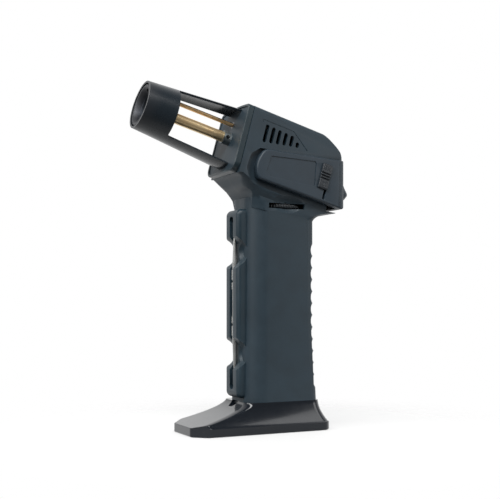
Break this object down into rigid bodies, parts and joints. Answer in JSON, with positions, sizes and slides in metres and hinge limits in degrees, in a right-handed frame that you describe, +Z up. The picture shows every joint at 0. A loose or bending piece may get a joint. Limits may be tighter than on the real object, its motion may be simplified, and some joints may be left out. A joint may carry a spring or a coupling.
{
  "type": "butane torch",
  "caption": "Table-top butane torch on a toed stand, with a windowed flame guard, thumb trigger with lock, flame wheel and a steel pick in a grip rail.",
  "frame": {"origin": "on the stand's underside, below the middle of the grip, on the plane of symmetry", "axes": "+Z up; the nozzle points to -X and up; -Y is the side with the lock slider"},
  "size_m": [0.1287, 0.0444, 0.1959],
  "materials": {
    "shell": "matte charcoal blue-black moulded plastic, fine spark-eroded grain",
    "bezel": "satin black moulded plastic",
    "guard": "heat-resistant satin black on steel",
    "cup": "dark heat-stained steel",
    "brass": "drawn brass, satin",
    "zinc": "grey cast zinc",
    "steel": "bright ground steel",
    "ceramic": "white glazed ceramic",
    "trigger": "matte charcoal moulded plastic, softly rounded",
    "slider": "satin charcoal plastic, ribbed",
    "spring_steel": "bright spring wire",
    "piezo": "cream moulded plastic",
    "inner_plastic": "black moulded plastic",
    "rubber": "black rubber",
    "hose": "clear fuel hose",
    "tank": "translucent grey moulded plastic",
    "rail": "satin black moulded plastic",
    "stand": "high-gloss black moulded plastic",
    "screw_steel": "blackened steel"
  },
  "bodies": {
    "torch": {"left_shell": "shell", "right_shell": "shell", "front_bezel": "bezel", "flame_guard": "guard", "burner_cup": "cup", "flame_holder": "brass", "burner_tube": "brass", "jet_holder": "zinc", "gas_jet": "brass", "electrode_tube": "brass", "electrode_pin": "steel", "electrode_bush": "ceramic", "trigger_spring": "spring_steel", "piezo_body": "piezo", "ignition_wire": "rubber", "valve_body": "brass", "lever_pin": "steel", "gas_hose": "hose", "fuel_tank": "tank", "tank_lid": "tank", "fill_valve": "brass", "fill_seal": "rubber", "dip_tube": "inner_plastic", "tool_rail": "rail", "base_stand": "stand", "shell_screws": "screw_steel", "base_screws": "screw_steel"},
    "trigger": {"thumb_trigger": "trigger"},
    "lock": {"lock_slider": "slider"},
    "plunger": {"piezo_plunger": "inner_plastic"},
    "rocker": {"valve_lever": "inner_plastic"},
    "stem": {"valve_stem": "brass"},
    "flame_wheel": {"adjuster_wheel": "inner_plastic"},
    "pick": {"rail_tool": "steel"}
  },
  "joints": [
    {"name": "trigger_slide", "type": "slide", "parent": "torch", "child": "trigger", "axis": [-1, 0, 0], "range_m": [0, 0.0035], "stiffness_N_per_m": 1500, "springref_m": -0.003, "deforming": ["trigger_spring"]},
    {"name": "lock_slide", "type": "slide", "parent": "trigger", "child": "lock", "axis": [-0.2656, 0, -0.9641], "range_m": [0, 0.004]},
    {"name": "plunger_slide", "type": "slide", "parent": "torch", "child": "plunger", "axis": [-1, 0, 0], "range_m": [0, 0.0035]},
    {"name": "rocker_hinge", "type": "hinge", "parent": "torch", "child": "rocker", "pos_m": [0.008, 0, 0.139], "axis": [0, -1, 0], "range_deg": [0, 14]},
    {"name": "stem_slide", "type": "slide", "parent": "torch", "child": "stem", "axis": [0, 0, -1], "range_m": [0, 0.0017]},
    {"name": "wheel_turn", "type": "hinge", "parent": "torch", "child": "flame_wheel", "pos_m": [0.001, 0, 0.1294], "axis": [0, 0, 1], "range_deg": [-135, 135]},
    {"name": "pick_pull", "type": "slide", "parent": "torch", "child": "pick", "axis": [-1, 0, 0], "range_m": [0, 0.028]}
  ],
  "couplings": [
    {"joint": "plunger_slide", "follows": "trigger_slide", "ratio": 1},
    {"joint": "rocker_hinge", "follows": "trigger_slide", "rad_per_m": 68},
    {"joint": "stem_slide", "follows": "trigger_slide", "ratio": 0.46}
  ]
}
